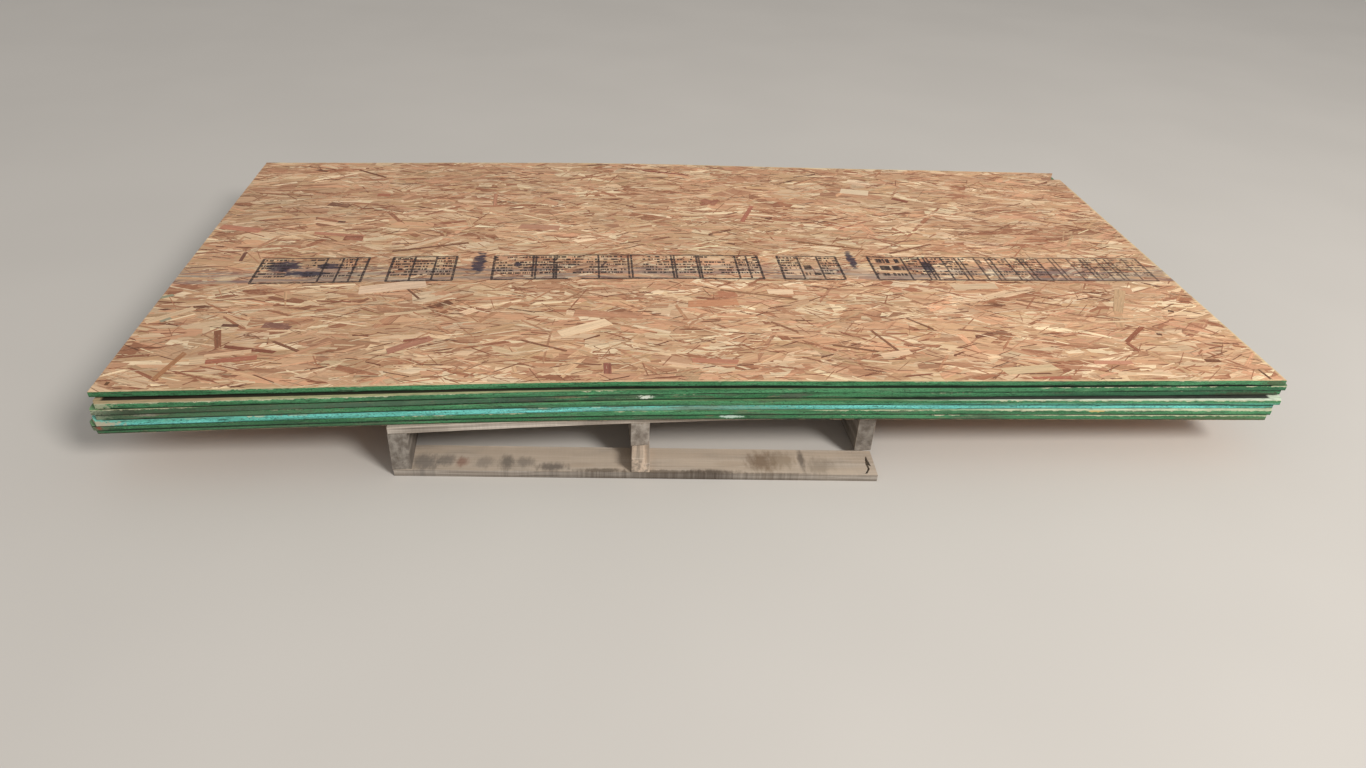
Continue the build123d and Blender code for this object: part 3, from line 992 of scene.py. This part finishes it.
def worn_timber(node, name, seed, step, chip, turn, lengthwise):
    """A board made from its node's own shape, its arrises rounded, chipped and dented."""
    rng = np.random.default_rng(seed)
    bm = bmesh.new()
    bm.from_mesh(NODES[node].data)
    bmesh.ops.remove_doubles(bm, verts=bm.verts, dist=2e-5)
    bmesh.ops.dissolve_limit(bm, angle_limit=math.radians(0.08), verts=bm.verts, edges=bm.edges)
    a = math.radians(turn)
    way = Vector((math.cos(a), math.sin(a), 0)) if lengthwise == "x" else Vector((-math.sin(a), math.cos(a), 0))
    reach = [v.co.dot(way) for v in bm.verts]
    place = min(reach) + step * rng.uniform(0.4, 0.9)
    while place < max(reach) - step * 0.3:
        everything = bm.verts[:] + bm.edges[:] + bm.faces[:]
        bmesh.ops.bisect_plane(bm, geom=everything, dist=1e-6, plane_co=way * place, plane_no=way)
        place += step * rng.uniform(0.6, 1.4)
    sharp = [e for e in bm.edges if len(e.link_faces) == 2 and e.calc_face_angle(0) > math.radians(50)]
    bmesh.ops.bevel(
        bm, geom=sharp, offset=ARRIS_ROUND, affect="EDGES", segments=2, profile=0.5, material=-1, clamp_overlap=True
    )
    bmesh.ops.recalc_face_normals(bm, faces=bm.faces)
    bm.normal_update()
    for v in bm.verts:
        corner = max((f.normal.angle(v.normal, 0) for f in v.link_faces), default=0) > 0.45
        deep = abs(rng.normal(0, DENT)) + (chip * rng.uniform() if corner and rng.uniform() < CHIP_SHARE else 0)
        v.co -= v.normal * deep * (1.0 if corner else 0.35)
    rubbed = [float(all(f.calc_area() < ARRIS_AREA for f in v.link_faces)) for v in bm.verts]
    mesh = bpy.data.meshes.new(name)
    bm.to_mesh(mesh)
    bm.free()
    mesh.attributes.new("arris", "FLOAT", "POINT").data.foreach_set("value", rubbed)
    return add_piece(name, mesh)


def dress_timber(node, name, timber_name, slot, seed, step, turn, dust, **own):
    """Puts a worn board in a node's place. Its own may be a corner, light tone, chips, way of the grain (lengthwise),
    stains and shade, the painted light or shade that makes the whole board lighter or darker."""
    timber = bpy.context.scene.pallet_timber
    low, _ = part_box(node)
    corner = own.get("corner", (low.x, low.y))
    lengthwise = own.get("lengthwise", "x")
    obj = worn_timber(node, name, seed, step, timber.chip * own.get("chips", 1.0), turn, lengthwise)
    light, stains, shade = own.get("light", timber.light), own.get("stains", ()), own.get("shade", 1.0)
    dust = timber.dust * dust
    show_material(obj, timber_material(timber_name, corner, turn, light, dust, lengthwise, stains, shade))
    mark_piece(obj, slot, node)


# ------------------------------------------------------------------ settings


def colour_setting(name, description, shown):
    return bpy.props.FloatVectorProperty(
        name=name, description=description, subtype="COLOR", size=3, min=0, max=1, default=rgb(shown)[:3]
    )


def number_setting(name, description, default, least=0.0, **more):
    return bpy.props.FloatProperty(name=name, description=description, default=default, min=least, **more)


class BoardStrandSettings(bpy.types.PropertyGroup):
    density: number_setting("Density", "Share of the usual number of strands", 1.0, 0.1, max=1.3)
    length_scale: number_setting("Length", "How long the strands are beside the usual", 1.0, 0.3, max=3)
    width_scale: number_setting("Width", "How wide the strands are beside the usual", 1.0, 0.3, max=3)
    seed: bpy.props.IntProperty(name="Seed", description="Chooses how the strands fall", default=11)


class BoardPaintSettings(bpy.types.PropertyGroup):
    green: colour_setting("Green", "Edge paint of most sheets", (80, 145, 99))
    green_deep: colour_setting("Deep green", "Where the green paint lies thick", (58, 117, 75))
    cyan: colour_setting("Cyan", "Edge paint of the fifth sheet", (120, 216, 206))
    cyan_deep: colour_setting("Deep cyan", "Where the cyan paint lies thin over the wood", (94, 182, 162))


class BoardInkSettings(bpy.types.PropertyGroup):
    colour: colour_setting("Ink", "Printed lines and dashes", (50, 40, 40))
    blot: colour_setting("Blot", "Blots of thick ink", (44, 42, 62))
    smear: colour_setting("Smear", "Smeared ink along the band", (122, 116, 116))


class PalletTimberSettings(bpy.types.PropertyGroup):
    light: colour_setting("Light timber", "Weathered timber where it is pale", (168, 159, 148))
    dark: colour_setting("Dark timber", "Weathered timber where it is dark", (122, 112, 102))
    dust: number_setting("Dust", "Dust on the boards' upper faces", 0.75, max=1, subtype="FACTOR")
    chip: number_setting("Chips", "Depth of the chips along the arrises", 0.0025, unit="LENGTH")


class StageSettings(bpy.types.PropertyGroup):
    floor: colour_setting("Floor", "The plain floor", (206, 200, 192))
    sky: number_setting("Soft light", "Even light from all round", 0.48)
    lamp: number_setting("Lamp", "Power of the large lamp", 440.0, unit="POWER")


# ----------------------------------------------------------------- operators


class BOARDS_OT_top_strands(bpy.types.Operator):
    """Lays the strands on the top sheet, with the printed band"""

    bl_idname = "boards.top_strands"
    bl_label = "Top strands"

    def execute(self, context):
        obj = lay_strands("top_face_strands", "osb_sheet_1", 1, context.scene.board_strands.seed, MARKED_STRANDS)
        show_material(obj, strand_material())
        mark_piece(obj, "strand_board")
        return {"FINISHED"}


class BOARDS_OT_under_strands(bpy.types.Operator):
    """Lays the strands on the lowest sheet's underside"""

    bl_idname = "boards.under_strands"
    bl_label = "Underside strands"

    def execute(self, context):
        obj = lay_strands("under_face_strands", "osb_sheet_7", -1, context.scene.board_strands.seed + 1, ())
        show_material(obj, bpy.data.materials["strand_face"])
        mark_piece(obj, "strand_board")
        return {"FINISHED"}


class BOARDS_OT_sheets(bpy.types.Operator):
    """Paints the sheets' edges and gives their faces strands"""

    bl_idname = "boards.sheets"
    bl_label = "Sheets"

    def execute(self, context):
        for number in range(1, len(SHEET_EDGES) + 1):
            show_material(NODES[f"osb_sheet_{number}"], sheet_material(number))
        return {"FINISHED"}


class BOARDS_OT_deck(bpy.types.Operator):
    """Makes the pallet's worn deck boards"""

    bl_idname = "boards.deck"
    bl_label = "Deck boards"

    def execute(self, context):
        for number in range(1, 8):
            dress_timber(
                f"top_board_{number}", f"deck_board_{number}", f"deck_timber_{number}", "pallet_board",
                100 + number, 0.04, PALLET_TURN, 0.3, shade=LEAD_BOARD_PAINTED_LIGHT if number == 1 else 1.0,
            )
        return {"FINISHED"}


class BOARDS_OT_stringers(bpy.types.Operator):
    """Makes the pallet's three worn stringers and the foot that split off"""

    bl_idname = "boards.stringers"
    bl_label = "Stringers"

    def execute(self, context):
        for number, (end, shade) in enumerate(STRINGER_PAINTED_LIGHT_AND_SHADE):
            node = f"stringer_{end}"
            foot = end == "foot_split"
            own = {"light": SPLIT_WOOD} if foot else {}
            dress_timber(
                node, f"worn_{node}", f"stringer_timber_{number}", "pallet_stringer",
                200 + number, 0.02 if foot else 0.03, LOOSE_BOARD_TURN if foot else PALLET_TURN, 0.4,
                lengthwise="y", shade=shade, **own,
            )
        return {"FINISHED"}


class BOARDS_OT_bottom(bpy.types.Operator):
    """Makes the pallet's worn bottom boards, the loose one in front among them"""

    bl_idname = "boards.bottom"
    bl_label = "Bottom boards"

    def execute(self, context):
        loose = {"corner": LOOSE_BOARD_CORNER, "chips": 1.5, "stains": BOARD_STAINS, "shade": LOOSE_BOARD_PAINTED_LIGHT}
        for number, end in enumerate(("front", "inner_1", "inner_2", "inner_3", "back")):
            node = f"bottom_board_{end}"
            dress_timber(
                node, f"worn_{node}", f"bottom_timber_{number}", "pallet_board", 300 + number, 0.02,
                LOOSE_BOARD_TURN if end == "front" else PALLET_TURN, 1.0, **(loose if end == "front" else {}),
            )
        return {"FINISHED"}


class BOARDS_OT_stage(bpy.types.Operator):
    """Sets up the floor, the soft light and the camera"""

    bl_idname = "boards.stage"
    bl_label = "Floor, light and camera"

    def execute(self, context):
        stage = context.scene.board_stage
        bm = bmesh.new()
        bmesh.ops.create_grid(bm, x_segments=1, y_segments=1, size=FLOOR_REACH)
        mesh = bpy.data.meshes.new("floor")
        bm.to_mesh(mesh)
        bm.free()
        floor = add_piece("floor", mesh)
        p = Pattern("floor")
        x, y, _ = p.place()
        soft = p.noise(((x, 1.5), (y, 1.5)))
        colour = p.shade(stage.floor, p.span(soft, 0.3, 0.7, 0.985, 1.015))
        show_material(floor, p.finish(colour, 0.9, soft, 0.0005, 0.1, 0.2))

        # The camera sees it brighter than the light that it gives.
        world = bpy.data.worlds.new("soft_light")
        context.scene.world = world
        world.use_nodes = True
        tree = world.node_tree
        background = tree.nodes["Background"]
        background.inputs["Color"].default_value = (1, 1, 1, 1)
        strength = tree.nodes.new("ShaderNodeMapRange")
        tree.links.new(tree.nodes.new("ShaderNodeLightPath").outputs["Is Camera Ray"], strength.inputs[0])
        strength.inputs[3].default_value = stage.sky
        strength.inputs[4].default_value = SKY_SEEN
        tree.links.new(strength.outputs[0], background.inputs["Strength"])

        data = bpy.data.lights.new("large_lamp", "AREA")
        data.shape = "DISK"
        data.size = LAMP_SIZE
        data.energy = stage.lamp
        data.color = LAMP_COLOUR
        lamp = add_piece("large_lamp", data)
        lamp.location = LAMP_PLACE
        lamp.rotation_euler = (Vector(LAMP_AIM) - lamp.location).to_track_quat("-Z", "Y").to_euler()

        data = bpy.data.cameras.new("camera")
        data.sensor_width = SENSOR_WIDTH
        data.lens = FOCAL_PIXELS * SENSOR_WIDTH / IMAGE_WIDTH
        camera = add_piece("camera", data)
        camera.matrix_world = Matrix.Translation(CAMERA_PLACE)
        for degrees, axis in ((-CAMERA_AZIMUTH, "Z"), (90 - CAMERA_DOWN, "X"), (CAMERA_ROLL, "Z")):
            camera.matrix_world @= Matrix.Rotation(math.radians(degrees), 4, axis)
        context.scene.camera = camera
        context.scene.view_settings.view_transform = "Standard"
        return {"FINISHED"}


SETTINGS = (
    ("board_strands", BoardStrandSettings),
    ("board_paint", BoardPaintSettings),
    ("board_ink", BoardInkSettings),
    ("pallet_timber", PalletTimberSettings),
    ("board_stage", StageSettings),
)
OPERATORS = (
    BOARDS_OT_stage,
    BOARDS_OT_top_strands,
    BOARDS_OT_under_strands,
    BOARDS_OT_sheets,
    BOARDS_OT_deck,
    BOARDS_OT_stringers,
    BOARDS_OT_bottom,
)


class BOARDS_PT_panel(bpy.types.Panel):
    """Lists the settings and the steps"""

    bl_idname = "BOARDS_PT_panel"
    bl_label = "Board stack"
    bl_space_type = "VIEW_3D"
    bl_region_type = "UI"
    bl_category = "Board stack"

    def draw(self, context):
        for name, group in SETTINGS:
            box = self.layout.box()
            for setting in group.__annotations__:
                box.prop(getattr(context.scene, name), setting)
        for operator in OPERATORS:
            self.layout.operator(operator.bl_idname)


def register():
    for name, group in SETTINGS:
        bpy.utils.register_class(group)
        setattr(bpy.types.Scene, name, bpy.props.PointerProperty(type=group))
    for cls in (*OPERATORS, BOARDS_PT_panel):
        bpy.utils.register_class(cls)


def unregister():
    for cls in (BOARDS_PT_panel, *reversed(OPERATORS)):
        bpy.utils.unregister_class(cls)
    for name, group in reversed(SETTINGS):
        delattr(bpy.types.Scene, name)
        bpy.utils.unregister_class(group)


def main():
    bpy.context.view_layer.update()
    register()
    for operator in OPERATORS:
        module, name = operator.bl_idname.split(".")
        getattr(getattr(bpy.ops, module), name)()


if __name__ == "__main__":
    main()
